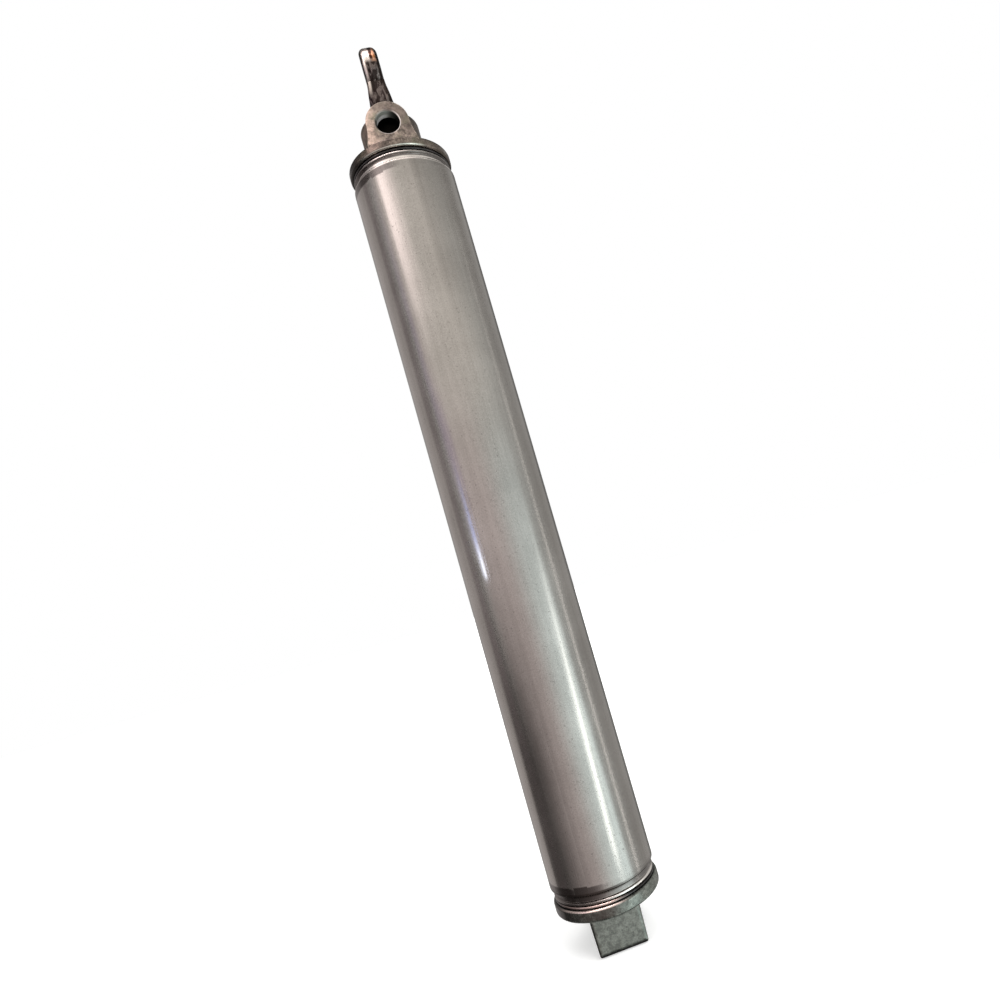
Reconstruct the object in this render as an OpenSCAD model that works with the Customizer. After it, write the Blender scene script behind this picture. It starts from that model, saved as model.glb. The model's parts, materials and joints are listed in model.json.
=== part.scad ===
// Hydraulic lift cylinder for a folding car top, drawn closed and upright.
// The origin is the centre of the base pivot bore. +Z runs along the cylinder towards the rod eye,
// +X runs along the two pivot bores, and the rod-end port faces -Y. Millimetres.

/* [Barrel tube] */
// Outside diameter of the tube
tube_od = 38.1; // [36:0.1:44]
// Wall of the tube
tube_wall = 1.65; // [1.2:0.05:2]
// Length of the tube over its rolled lips
tube_len = 270; // [180:1:420]

/* [Rolled tube ends] */
// Depth of the rolled groove below the tube's surface
groove_depth = 1.35; // [1:0.05:1.8]
// How far the end lip stays below the tube's surface
lip_drop = 0.75; // [0.5:0.05:0.9]
// Length of the lip beyond the groove
lip_len = 0.7; // [0.6:0.1:1.4]
// Length of the slope between the lip and the groove
lip_run = 0.6; // [0.4:0.1:1.2]
// Length of the groove's floor
floor_len = 1.6; // [0.8:0.1:3]
// Length of the rounded shoulder between the groove and the full tube
shoulder_run = 0.9; // [0.8:0.1:3]

/* [End caps] */
// Thickness of the base cap's flange
base_flange_t = 4.2; // [3.4:0.1:7]
// Thickness of the rod-end cap's flange
head_flange_t = 3.4; // [2.6:0.1:6]
// How far the flanges stand proud of the tube's surface
flange_proud = 0.1; // [0:0.1:1.5]
// Rounding of the flange edges
flange_round = 0.9; // [0.3:0.1:1.2]
// Space between a flange and the tube's lip, which holds the lock ring
ring_gap = 1.3; // [1.3:0.1:2.4]
// Length of each spigot inside the tube, from its flange
spigot_len = 16; // [15:0.5:24]
// Wire diameter of the lock rings
lock_wire = 1; // [0.7:0.1:1.2]
// Wire diameter of the cap O-rings
cap_ring_wire = 2.4; // [1.8:0.1:2.8]
// How far the flat faces of the lug and of the port boss are set back from the flange's rim
face_setback = 2.1; // [1.6:0.1:2.6]

/* [Base lug] */
// Thickness of the lug along its pivot bore, where it meets the flange
lug_t = 17.8; // [12:0.1:18.4]
// Slope of the lug's two sides, in degrees
lug_draft = 1.8; // [0:0.1:4]
// Distance from the pivot bore to the underside of the flange
lug_drop = 6.5; // [6:0.1:14]
// Distance from the pivot bore to the lug's end
lug_foot = 6.1; // [5.8:0.1:9]
// Rounding of the lug's end towards its flat faces
lug_nose = 2.2; // [1:0.1:5]
// Rounding of the lug's other edges
lug_round = 1.5; // [0.4:0.1:1.6]

/* [Pivot bores] */
// Diameter of the two pivot bores
pivot_bore = 8; // [6:0.1:9]
// Chamfer at the mouths of the bores and ports
mouth_chamfer = 0.4; // [0.3:0.1:0.9]

/* [Hose ports] */
// Tapping diameter of the two hose ports
port_bore = 8.6; // [6:0.1:8.8]
// Depth of the tapped holes
port_depth = 7.4; // [6:0.1:7.6]
// Radius of the rod-end port boss
port_boss_r = 7.7; // [6.5:0.1:8.2]
// How far the boss spreads on each side at its foot
port_foot = 1.4; // [0.5:0.1:2]
// Height of the rod-end port's centre above its flange
port_rise = 7.5; // [6:0.1:9]
// Diameter of the oil passage from the port to the chamber
passage_d = 3.2; // [2:0.1:3.4]
// Distance of the oil passage from the cylinder's axis
passage_y = 12; // [11.6:0.1:12.4]

/* [Rod gland] */
// Radius of the gland boss
gland_r = 11; // [10.4:0.05:12]
// Height of the gland boss above its flange
gland_h = 16.5; // [15.5:0.1:20]
// Rounding of the gland boss's top edge
gland_round = 2.1; // [0.8:0.1:2.2]
// Diameter of the seal housing
housing_d = 15.9; // [15:0.1:16.4]
// Outside diameter of the guide bushing
bushing_od = 12.7; // [11.6:0.1:13.4]
// Length of the guide bushing
bushing_len = 20; // [12:0.5:21]
// Height of the rod seal
rod_seal_h = 4.4; // [3:0.1:4.6]
// Thickness of the washer above the rod seal
seal_washer_t = 1.2; // [0.8:0.1:1.4]
// Height of the wiper's body
wiper_h = 2.3; // [1.6:0.1:2.5]
// Thickness of the snap ring that closes the gland
snap_t = 1.1; // [0.8:0.1:1.2]

/* [Piston rod] */
// Diameter of the rod
rod_d = 9.525; // [8:0.025:10.5]
// Distance from the gland boss to the rod eye's centre with the rod drawn in
eye_reach = 23.1; // [20:0.1:60]
// Radius of the rod eye
eye_r = 8.5; // [7.4:0.1:10]
// Thickness of the rod eye
eye_t = 6.8; // [5:0.1:8]
// Rounding of the rod eye's rim
eye_round = 2.2; // [0.4:0.1:2.6]
// Length of the forged neck between the eye and the round rod
neck_len = 10; // [8:0.5:12]
// Diameter of the journal that carries the piston
journal_d = 7.9; // [6:0.1:8.2]

/* [Piston] */
// Length of the piston
piston_len = 18; // [17:0.5:26]
// Length of each piston cup
cup_len = 4; // [3:0.1:4.4]
// Radial depth of the piston cup grooves
cup_depth = 4; // [3:0.1:5]
// Length of the wear ring
wear_len = 4; // [2.5:0.1:5]
// Radial thickness of the wear ring
wear_t = 1.9; // [1.2:0.1:2.5]
// Thickness of the piston washer
washer_t = 1.6; // [1:0.1:2]
// Diameter of the piston washer
washer_d = 17; // [15:0.5:17.5]
// Width of the piston nut across its flats
nut_af = 12.7; // [11:0.1:14]
// Height of the piston nut
nut_h = 5.6; // [4:0.1:6.5]
// Wire diameter of the O-ring between rod and piston
rod_ring_wire = 1.5; // [1:0.1:1.6]

/* [Clearances] */
// Running clearance of the rod in its bushing, on the radius
rod_fit = 0.04; // [0.02:0.01:0.08]
// Running clearance of the piston in the tube, on the radius
piston_fit = 0.15; // [0.1:0.01:0.3]
// Clearance of rubber and plastic parts at the surface that they run on, on the radius
lip_fit = 0.05; // [0.02:0.01:0.1]
// Gap between pieces that are pressed or clamped together
seat = 0.02; // [0.01:0.01:0.05]
// End clearance of a seal or ring in its groove
side_fit = 0.1; // [0.05:0.01:0.2]
// Gap between the piston and each cap at the ends of the stroke
end_gap = 0.6; // [0.3:0.1:1.5]

/* [Hidden] */
$fn = 96;
arc_steps = 8;   // straight pieces in a small rounding
wave_steps = 10; // straight pieces in a rolled slope
cut = 1;         // how far a cutter runs past the face that it opens
edge = 0.8;      // chamfer on the edges of the spigots, the piston and the rod's end
boss_fillet = 1.2;
housing_mouth = 0.5;
lip_flat = 0.6;      // height of a seal's lip edge
lip_tip = 0.5;       // how far a seal's lip slopes over its end
ring_opening = 5;    // opening of the snap ring
wear_opening = 1.5;  // opening of the wear ring
nut_bevel = 1;

// Heights along the cylinder, from the base pivot up
tube_r = tube_od / 2;
tube_bore_r = tube_r - tube_wall;
flange_r = tube_r + flange_proud;
base_flange_top = lug_drop + base_flange_t;
tube_bottom = base_flange_top + ring_gap;
tube_top = tube_bottom + tube_len;
head_flange_bottom = tube_top + ring_gap;
head_flange_top = head_flange_bottom + head_flange_t;
chamber_bottom = base_flange_top + spigot_len;
chamber_top = head_flange_bottom - spigot_len;
gland_top = head_flange_top + gland_h;
closed_len = gland_top + eye_reach; // centre distance of the two pivots
piston_bottom = chamber_bottom + end_gap;
piston_top = piston_bottom + piston_len;
stroke = chamber_top - end_gap - piston_top;

// Spigots, which lie inside the rolled tube
groove_s = lip_len + lip_run;                  // from the tube's end to the groove's floor
shoulder_s = groove_s + floor_len;             // from the tube's end to the foot of the shoulder
inner_s = shoulder_s + 0.2 * tube_wall;        // the same inside the tube, where the wall bends later
rolled_len = inner_s + shoulder_run + 0.25 * tube_wall; // from the tube's end to the full bore
lip_round = 0.4;                               // rounding of the lip's outer edge
spigot_r = tube_bore_r - seat;
roll_gap = 3 * seat;                           // gap under the rolled slopes, measured on the radius
collar_r = tube_r - lip_drop - lock_wire - seat;
collar_len = ring_gap - side_fit;
cap_ring_depth = cap_ring_wire + seat;
cap_ring_len = cap_ring_wire + 2 * side_fit;
cap_ring_s = (ring_gap + rolled_len + spigot_len) / 2; // from the flange to the middle of the ring groove

// Rod, gland and piston
rod_r = rod_d / 2;
journal_r = journal_d / 2;
housing_r = housing_d / 2;
bushing_r = bushing_od / 2;
face_y = flange_r - face_setback;
lug_slope = tan(lug_draft);
pivot_t = lug_t - 2 * lug_drop * lug_slope; // thickness of the lug at its pivot bore
snap_recess = 1.1; // from the gland's top down to the snap ring
housing_floor = gland_top - (rod_seal_h + seal_washer_t + wiper_h + snap_t + 4 * side_fit + snap_recess);
washer_z = housing_floor + rod_seal_h + side_fit;
wiper_z = washer_z + seal_washer_t + side_fit;
snap_z = wiper_z + wiper_h + side_fit;
snap_groove_r = housing_r + 0.85;
snap_inner_r = housing_r - 1.15;
rod_room = 0.4;    // room round the rod where it passes through a cap
bushing_inset = 0.5; // how far the bushing stays behind the cap's inner face
piston_r = tube_bore_r - piston_fit;
cup_groove_len = cup_len + 2 * side_fit;
wear_groove_len = wear_len + 2 * side_fit;
land = (piston_len - 2 * cup_groove_len - wear_groove_len) / 4; // ribs between the piston's grooves
lower_cup_z = piston_bottom + land;
wear_z = lower_cup_z + cup_groove_len + land;
upper_cup_z = wear_z + wear_groove_len + land;
nut_z = piston_bottom - washer_t - nut_h - 2 * seat;
rod_end_z = nut_z - 1;         // the thread shows a little below the nut
pocket_r = washer_d / 2 + end_gap;
pocket_floor = rod_end_z - 1;  // room below the rod with the rod drawn in

// A smooth step from 0 to 1
function ease(t) = (1 - cos(180 * t)) / 2;

// Points of a slope from radius a at height za to radius b at height zb
function slope(a, za, b, zb) =
    [for (i = [0:wave_steps]) let(t = i / wave_steps) [a + (b - a) * ease(t), za + (zb - za) * t]];

// Points of an arc round [x, y]
function arc(x, y, r, from, to) =
    [for (i = [0:arc_steps]) let(a = from + (to - from) * i / arc_steps) [x + r * cos(a), y + r * sin(a)]];

function backwards(points) = [for (i = [len(points) - 1:-1:0]) points[i]];

// Outside of a rolled tube end, from its lip inwards: away is 1 at the bottom end and -1 at the top
function rolled_outside(z, away) = concat(
    [for (i = [0:arc_steps]) let(a = 90 * i / arc_steps)
        [tube_r - lip_drop - lip_round * (1 - sin(a)), z + away * lip_round * (1 - cos(a))]],
    slope(tube_r - lip_drop, z + away * lip_len, tube_r - groove_depth, z + away * groove_s),
    [for (i = [0:wave_steps]) let(a = 90 * i / wave_steps)
        [tube_r - groove_depth * (1 - sin(a)), z + away * (shoulder_s + shoulder_run * (1 - cos(a)))]]
);

// Inside of a rolled tube end, for the tube itself and for the spigot in it, which is smaller by gap
function rolled_inside(z, away, gap) = let(r = tube_bore_r - gap) concat(
    [[r - lip_drop, z]],
    slope(r - lip_drop, z + away * lip_len, r - groove_depth, z + away * groove_s),
    slope(r - groove_depth, z + away * inner_s, r, z + away * rolled_len)
);

// A ring with a rectangular section
module ring(inner, outer, z, h) {
    translate([0, 0, z])
        difference() {
            cylinder(r = outer, h = h);
            translate([0, 0, -cut]) cylinder(r = inner, h = h + 2 * cut);
        }
}

// A ring of round wire
module wire_ring(middle_r, z, wire) {
    translate([0, 0, z]) rotate_extrude() translate([middle_r, 0]) circle(d = wire, $fn = 32);
}

// A hole with a chamfered mouth at the origin, running towards -Z
module mouthed_hole(d, depth) {
    translate([0, 0, -depth]) cylinder(d = d, h = depth + cut);
    translate([0, 0, -mouth_chamfer])
        cylinder(r1 = d / 2, r2 = d / 2 + mouth_chamfer + cut, h = mouth_chamfer + cut);
}

// A hole along X with both mouths chamfered, through a plate of the given thickness
module pivot_hole(thickness) {
    for (side = [0, 1]) mirror([side, 0, 0])
        translate([thickness / 2, 0, 0]) rotate([0, 90, 0]) mouthed_hole(pivot_bore, thickness / 2 + cut);
}

// Flange, collar, crimp groove and spigot as one turned piece, with the spigot above z = 0
module cap_blank(flange_t) {
    e = flange_round;
    ring_z = cap_ring_s - cap_ring_len / 2;
    rotate_extrude()
        polygon(concat(
            [[0, -flange_t]],
            arc(flange_r - e, e - flange_t, e, -90, 0),
            arc(flange_r - e, -e, e, 0, 90),
            [[collar_r, 0], [collar_r, collar_len], [tube_bore_r - roll_gap - lip_drop, collar_len]],
            rolled_inside(ring_gap, 1, roll_gap),
            [
                [spigot_r, ring_z], [spigot_r - cap_ring_depth, ring_z],
                [spigot_r - cap_ring_depth, ring_z + cap_ring_len], [spigot_r, ring_z + cap_ring_len],
                [spigot_r, spigot_len - edge], [spigot_r - edge, spigot_len], [0, spigot_len]
            ]
        ));
}

// Outline of a port boss seen from its mouth: a round top on sides that spread into the flange
module port_outline() {
    side = [for (i = [0:arc_steps]) let(t = i / arc_steps)
        [port_boss_r + port_foot * (1 - cos(90 * t)), -port_rise * t]];
    circle(r = port_boss_r);
    polygon(concat(
        side,
        [[port_boss_r + port_foot, -port_rise - cut], [-port_boss_r - port_foot, -port_rise - cut]],
        backwards([for (p = side) [-p[0], p[1]]])
    ));
}

// Port boss from the axis to its face at -Y, standing on a flange face at z = 0
module port_boss() {
    translate([0, 0, port_rise]) rotate([90, 0, 0]) linear_extrude(height = face_y) port_outline();
}

// Tapped port in the face at +Y, centred at z = 0, and the passage from it to the chamber
module port_cut(chamber) {
    translate([0, face_y, 0]) rotate([-90, 0, 0]) mouthed_hole(port_bore, port_depth);
    translate([0, passage_y, min(0, chamber - cut)])
        cylinder(d = passage_d, h = abs(chamber) + cut, $fn = 48);
}

module barrel_tube() {
    color("silver")
        rotate_extrude()
            polygon(concat(
                rolled_outside(tube_bottom, 1),
                backwards(rolled_outside(tube_top, -1)),
                rolled_inside(tube_top, -1, 0),
                backwards(rolled_inside(tube_bottom, 1, 0))
            ));
}

// A rectangle from -a to a and from low to high, with its two lower corners rounded
module foot_outline(a, low, high, r, lean) {
    polygon(concat(
        arc(a - (high - low) * lean - r, low + r, r, -90, 0),
        [[a, high], [-a, high]],
        arc(r + (high - low) * lean - a, low + r, r, -180, -90)
    ));
}

// The lug is a bar across the cap: three outlines, seen along X, Y and Z, met with each other
module lug() {
    top = lug_drop + cut;
    intersection() {
        rotate([90, 0, 90]) translate([0, 0, -lug_t])
            linear_extrude(height = 2 * lug_t) foot_outline(face_y, -lug_foot, top, lug_nose, 0);
        rotate([90, 0, 0]) translate([0, 0, -flange_r]) linear_extrude(height = 2 * flange_r)
            foot_outline(lug_t / 2 + cut * lug_slope, -lug_foot, top, lug_round, lug_slope);
        translate([0, 0, -lug_foot]) linear_extrude(height = lug_foot + top)
            polygon(concat(
                arc(lug_t / 2 - lug_round, face_y - lug_round, lug_round, 0, 90),
                arc(lug_round - lug_t / 2, face_y - lug_round, lug_round, 90, 180),
                arc(lug_round - lug_t / 2, lug_round - face_y, lug_round, 180, 270),
                arc(lug_t / 2 - lug_round, lug_round - face_y, lug_round, 270, 360)
            ));
    }
}

module base_cap() {
    color("dimgray")
        difference() {
            union() {
                translate([0, 0, base_flange_top]) cap_blank(base_flange_t);
                lug();
            }
            pivot_hole(pivot_t);
            port_cut(chamber_bottom);
            translate([0, 0, pocket_floor]) cylinder(r = pocket_r, h = chamber_bottom - pocket_floor + cut);
        }
}

module head_cap() {
    port_z = head_flange_top + port_rise;
    color("dimgray")
        difference() {
            union() {
                translate([0, 0, head_flange_bottom]) mirror([0, 0, 1]) cap_blank(head_flange_t);
                translate([0, 0, head_flange_top]) {
                    gland_boss();
                    port_boss();
                }
            }
            translate([0, 0, port_z]) rotate([0, 0, 180]) port_cut(chamber_top - port_z);
            translate([0, 0, housing_floor]) cylinder(r = housing_r, h = gland_top - housing_floor + cut);
            translate([0, 0, snap_z - side_fit / 2]) cylinder(r = snap_groove_r, h = snap_t + side_fit);
            translate([0, 0, gland_top - housing_mouth])
                cylinder(r1 = housing_r, r2 = housing_r + housing_mouth + cut, h = housing_mouth + cut);
            translate([0, 0, chamber_top - cut]) cylinder(r = bushing_r, h = bushing_len + cut);
            translate([0, 0, chamber_top])
                cylinder(r = rod_r + rod_room, h = housing_floor - chamber_top + cut);
        }
}

// Round boss that houses the rod's seals, with a fillet at its foot and a rounded top
module gland_boss() {
    rotate_extrude()
        polygon(concat(
            [[0, -cut], [gland_r + boss_fillet, -cut]],
            arc(gland_r + boss_fillet, boss_fillet, boss_fillet, 270, 180),
            arc(gland_r - gland_round, gland_h - gland_round, gland_round, 0, 90),
            [[0, gland_h]]
        ));
}

module base_cap_o_ring() {
    color("#222222")
        wire_ring(tube_bore_r - seat - cap_ring_wire / 2, base_flange_top + cap_ring_s, cap_ring_wire);
}

module head_cap_o_ring() {
    color("#222222")
        wire_ring(tube_bore_r - seat - cap_ring_wire / 2, head_flange_bottom - cap_ring_s, cap_ring_wire);
}

module base_lock_ring() {
    color("lightgray")
        wire_ring(tube_r - lip_drop - lock_wire / 2, base_flange_top + seat + lock_wire / 2, lock_wire);
}

module head_lock_ring() {
    color("lightgray")
        wire_ring(tube_r - lip_drop - lock_wire / 2, head_flange_bottom - seat - lock_wire / 2, lock_wire);
}

module rod_guide_bushing() {
    low = chamber_top + bushing_inset;
    color("goldenrod") ring(rod_r + rod_fit, bushing_r - seat, low, chamber_top + bushing_len - seat - low);
}

// Lip seal with a solid heel on top and its two lips towards the pressure below
module rod_seal() {
    inner = rod_r + lip_fit;
    outer = housing_r - seat;
    middle = (inner + outer) / 2;
    color("#222222")
        translate([0, 0, housing_floor + seat]) rotate_extrude()
            polygon([
                [inner + lip_tip / 2, rod_seal_h], [inner + lip_tip / 2, 2 * lip_flat],
                [inner, lip_flat], [inner + lip_tip, 0], [middle, rod_seal_h * 0.55],
                [outer - lip_tip, 0], [outer, lip_flat], [outer, rod_seal_h]
            ]);
}

module seal_washer() {
    color("gray") ring(rod_r + rod_room, housing_r - lip_fit, washer_z, seal_washer_t);
}

// Scraper with a rubber lip that stands up to the rod inside the snap ring
module rod_wiper() {
    inner = rod_r + lip_fit;
    lip_top = gland_top - 0.4;
    color("#222222")
        rotate_extrude()
            polygon([
                [inner + 0.3, wiper_z], [housing_r - seat, wiper_z], [housing_r - seat, wiper_z + wiper_h],
                [snap_inner_r - 0.3, wiper_z + wiper_h], [inner + 0.9, lip_top], [inner, lip_top],
                [inner, lip_top - 0.4], [inner + 0.3, wiper_z + wiper_h / 2]
            ]);
}

module gland_snap_ring() {
    color("gray")
        difference() {
            ring(snap_inner_r, snap_groove_r - side_fit, snap_z, snap_t);
            translate([-ring_opening / 2, 0, snap_z - cut]) cube([ring_opening, tube_r, snap_t + 2 * cut]);
        }
}

// Width of the neck: the rod below, the eye's plate above
function neck_profile(low, high) = concat(
    slope(low, -neck_len - eye_r, high, -eye_r * 0.8),
    backwards([for (p = slope(low, -neck_len - eye_r, high, -eye_r * 0.8)) [-p[0], p[1]]])
);

// Forged neck and eye: the round rod is flattened along X and spread along Y
module rod_eye() {
    e = eye_round;
    rotate([0, 90, 0]) rotate_extrude()
        polygon(concat(
            [[0, -eye_t / 2]],
            arc(eye_r - e, e - eye_t / 2, e, -90, 0),
            arc(eye_r - e, eye_t / 2 - e, e, 0, 90),
            [[0, eye_t / 2]]
        ));
    intersection() {
        rotate([90, 0, 0]) translate([0, 0, -eye_r]) linear_extrude(height = 2 * eye_r)
            polygon(neck_profile(rod_r, eye_t / 2));
        rotate([90, 0, 90]) translate([0, 0, -rod_r]) linear_extrude(height = 2 * rod_r)
            polygon(neck_profile(rod_r, eye_r * 0.62));
        rotate_extrude()
            polygon(concat(
                [[0, -neck_len - eye_r - cut], [rod_r, -neck_len - eye_r - cut]],
                slope(rod_r, -neck_len - eye_r, eye_r, -eye_r * 0.5),
                [[0, -eye_r * 0.5]]
            ));
    }
}

module piston_rod() {
    neck_z = closed_len - eye_r - neck_len;
    color("gainsboro")
        difference() {
            union() {
                translate([0, 0, piston_top]) cylinder(r = rod_r, h = neck_z - piston_top);
                translate([0, 0, rod_end_z + edge]) cylinder(r = journal_r, h = piston_top - rod_end_z);
                translate([0, 0, rod_end_z]) cylinder(r1 = journal_r - edge, r2 = journal_r, h = edge);
                translate([0, 0, closed_len]) rod_eye();
            }
            translate([0, 0, closed_len]) pivot_hole(eye_t);
        }
}

// Piston with two cup grooves, a wear ring groove between them and an O-ring groove in its bore
module piston_head() {
    ring_groove = rod_ring_wire + 2 * side_fit;
    color("lightslategray")
        difference() {
            translate([0, 0, piston_bottom]) rotate_extrude()
                polygon([
                    [journal_r + seat, 0], [piston_r - edge, 0], [piston_r, edge],
                    [piston_r, piston_len - edge - seat], [piston_r - edge, piston_len - seat],
                    [journal_r + seat, piston_len - seat]
                ]);
            ring(piston_r - cup_depth, piston_r + cut, lower_cup_z, cup_groove_len);
            ring(piston_r - wear_t + piston_fit, piston_r + cut, wear_z, wear_groove_len);
            ring(piston_r - cup_depth, piston_r + cut, upper_cup_z, cup_groove_len);
            translate([0, 0, wear_z + (wear_groove_len - ring_groove) / 2])
                cylinder(r = journal_r + rod_ring_wire + 2 * seat, h = ring_groove);
        }
}

module piston_wear_ring() {
    color("ivory")
        difference() {
            ring(
                piston_r - wear_t + piston_fit + lip_fit, tube_bore_r - lip_fit,
                wear_z + side_fit, wear_len
            );
            translate([-wear_opening / 2, 0, wear_z - cut]) cube([wear_opening, tube_r, wear_len + 2 * cut]);
        }
}

// Cup seal with its heel at z = 0 and its lips towards +Z
module piston_cup() {
    inner = piston_r - cup_depth + seat;
    outer = tube_bore_r - lip_fit;
    middle = (inner + outer) / 2;
    rotate_extrude()
        polygon([
            [inner, 0], [outer - lip_tip, 0], [outer - lip_tip / 2, cup_len / 2],
            [outer, cup_len - lip_flat], [outer - lip_tip, cup_len], [middle, cup_len * 0.45],
            [inner + lip_tip, cup_len], [inner, cup_len - lip_flat]
        ]);
}

module upper_piston_cup() {
    color("#222222") translate([0, 0, upper_cup_z + side_fit]) piston_cup();
}

module lower_piston_cup() {
    color("#222222")
        translate([0, 0, lower_cup_z + cup_groove_len - side_fit]) mirror([0, 0, 1]) piston_cup();
}

module piston_o_ring() {
    color("#222222")
        wire_ring(journal_r + seat + rod_ring_wire / 2, wear_z + wear_groove_len / 2, rod_ring_wire);
}

module piston_washer() {
    color("gray") ring(journal_r + seat, washer_d / 2, piston_bottom - seat - washer_t, washer_t);
}

// Hexagon nut with both ends bevelled
module piston_nut() {
    corner_r = nut_af / sqrt(3);
    color("gray")
        translate([0, 0, nut_z])
            difference() {
                intersection() {
                    cylinder(r = corner_r, h = nut_h, $fn = 6);
                    rotate_extrude()
                        polygon([
                            [0, 0], [corner_r - nut_bevel, 0], [corner_r, nut_bevel * 0.6],
                            [corner_r, nut_h - nut_bevel * 0.6], [corner_r - nut_bevel, nut_h], [0, nut_h]
                        ]);
                }
                translate([0, 0, -cut]) cylinder(r = journal_r + seat, h = nut_h + 2 * cut);
            }
}

barrel_tube();
base_cap();
base_cap_o_ring();
base_lock_ring();
head_cap();
head_cap_o_ring();
head_lock_ring();
rod_guide_bushing();
rod_seal();
seal_washer();
rod_wiper();
gland_snap_ring();
piston_rod();
piston_head();
piston_wear_ring();
upper_piston_cup();
lower_piston_cup();
piston_o_ring();
piston_washer();
piston_nut();
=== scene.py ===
import json
import math
import bpy
from mathutils import Matrix, Vector


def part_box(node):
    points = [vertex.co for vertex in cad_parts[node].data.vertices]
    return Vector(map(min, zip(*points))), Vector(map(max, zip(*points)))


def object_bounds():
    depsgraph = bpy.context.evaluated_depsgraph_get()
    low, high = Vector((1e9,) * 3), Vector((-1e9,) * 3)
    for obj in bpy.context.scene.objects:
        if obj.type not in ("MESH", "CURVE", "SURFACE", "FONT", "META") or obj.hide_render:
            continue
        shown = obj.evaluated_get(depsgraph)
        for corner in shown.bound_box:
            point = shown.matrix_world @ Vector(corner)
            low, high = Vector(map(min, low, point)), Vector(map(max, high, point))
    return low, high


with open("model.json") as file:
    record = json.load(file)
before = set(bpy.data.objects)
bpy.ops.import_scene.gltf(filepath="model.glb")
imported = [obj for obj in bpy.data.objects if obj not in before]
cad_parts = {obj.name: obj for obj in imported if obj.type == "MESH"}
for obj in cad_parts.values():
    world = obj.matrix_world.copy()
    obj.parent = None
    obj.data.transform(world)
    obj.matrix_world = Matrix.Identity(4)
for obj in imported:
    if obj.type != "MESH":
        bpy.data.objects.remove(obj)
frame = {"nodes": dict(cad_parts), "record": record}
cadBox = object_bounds()
nodes = frame["nodes"]
print("frame loaded:", len(nodes), "nodes")


# small helpers for shader nodes; a value may be a number, a colour or another node's output

def put(tree, socket, value):
    if isinstance(value, (int, float)):
        socket.default_value = value
    elif isinstance(value, tuple):
        socket.default_value = (*value, 1.0)
    else:
        tree.links.new(value, socket)


def emptyMaterial(name):
    material = bpy.data.materials.new(name)
    material.use_nodes = True
    tree = material.node_tree
    tree.nodes.clear()
    return material, tree, tree.nodes.new("ShaderNodeOutputMaterial")


def newMaterial(name):
    material, tree, output = emptyMaterial(name)
    shader = tree.nodes.new("ShaderNodeBsdfPrincipled")
    tree.links.new(shader.outputs["BSDF"], output.inputs["Surface"])
    return material, tree, shader


def newGroup(name, inputs, outputs):
    # inputs: {name: default}, outputs: names
    group = bpy.data.node_groups.new(name, "ShaderNodeTree")
    for label, value in inputs.items():
        socket = group.interface.new_socket(name=label, in_out="INPUT", socket_type="NodeSocketFloat")
        socket.default_value = value
    for label in outputs:
        group.interface.new_socket(name=label, in_out="OUTPUT", socket_type="NodeSocketFloat")
    return group, group.nodes.new("NodeGroupInput").outputs, group.nodes.new("NodeGroupOutput").inputs


def useGroup(tree, group, **values):
    node = tree.nodes.new("ShaderNodeGroup")
    node.node_tree = group
    for label, value in values.items():
        node.inputs[label].default_value = value
    return node.outputs


def calc(tree, operation, first, second=None, clamp=False):
    node = tree.nodes.new("ShaderNodeMath")
    node.operation = operation
    node.use_clamp = clamp
    put(tree, node.inputs[0], first)
    if second is not None:
        put(tree, node.inputs[1], second)
    return node.outputs[0]


def chain(tree, operation, values, clamp=False):
    # the first with the second, the result with the third and so on; clamp holds for the last step
    result = values[0]
    for i, value in enumerate(values[1:], 2):
        result = calc(tree, operation, result, value, clamp and i == len(values))
    return result


def times(tree, *values, clamp=False):
    return chain(tree, "MULTIPLY", values, clamp)


def plus(tree, *values, clamp=False):
    return chain(tree, "ADD", values, clamp)


def minus(tree, first, second, clamp=False):
    return calc(tree, "SUBTRACT", first, second, clamp)


def largest(tree, *values):
    return chain(tree, "MAXIMUM", values)


def weighted(tree, values, shares, clamp=False):
    # sum of the values, each times its share
    return plus(tree, *(times(tree, value, share) for value, share in zip(values, shares)), clamp=clamp)


def lengthOf(tree, first, second):
    return calc(tree, "SQRT", plus(tree, times(tree, first, first), times(tree, second, second)))


def smoothStep(tree, value, low, high, before=0.0, after=1.0):
    # before up to low, after from high on, with a soft step between
    node = tree.nodes.new("ShaderNodeMapRange")
    node.interpolation_type = "SMOOTHSTEP"
    labels = "Value", "From Min", "From Max", "To Min", "To Max"
    for label, number in zip(labels, (value, low, high, before, after)):
        put(tree, node.inputs[label], number)
    return node.outputs["Result"]


def window(tree, value, start, full, fade, end):
    # 1 between full and fade, 0 before start and after end
    return times(tree, smoothStep(tree, value, start, full), smoothStep(tree, value, fade, end, 1.0, 0.0))


def spread(tree, value, low, high):
    # value from 0..1 onto low..high
    node = tree.nodes.new("ShaderNodeMapRange")
    for label, number in (("Value", value), ("To Min", low), ("To Max", high)):
        put(tree, node.inputs[label], number)
    return node.outputs["Result"]


def noise(tree, vector, scale, detail=2.0, rough=0.5):
    node = tree.nodes.new("ShaderNodeTexNoise")
    for label, value in (("Vector", vector), ("Scale", scale), ("Detail", detail), ("Roughness", rough)):
        put(tree, node.inputs[label], value)
    return node.outputs["Fac"]


def stretched(tree, vector, scales):
    node = tree.nodes.new("ShaderNodeVectorMath")
    node.operation = "MULTIPLY"
    tree.links.new(vector, node.inputs[0])
    node.inputs[1].default_value = scales
    return node.outputs[0]


def objectCoords(tree):
    return tree.nodes.new("ShaderNodeTexCoord").outputs["Object"]


def axisParts(tree, vector):
    node = tree.nodes.new("ShaderNodeSeparateXYZ")
    tree.links.new(vector, node.inputs[0])
    return node.outputs["X"], node.outputs["Y"], node.outputs["Z"]


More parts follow.
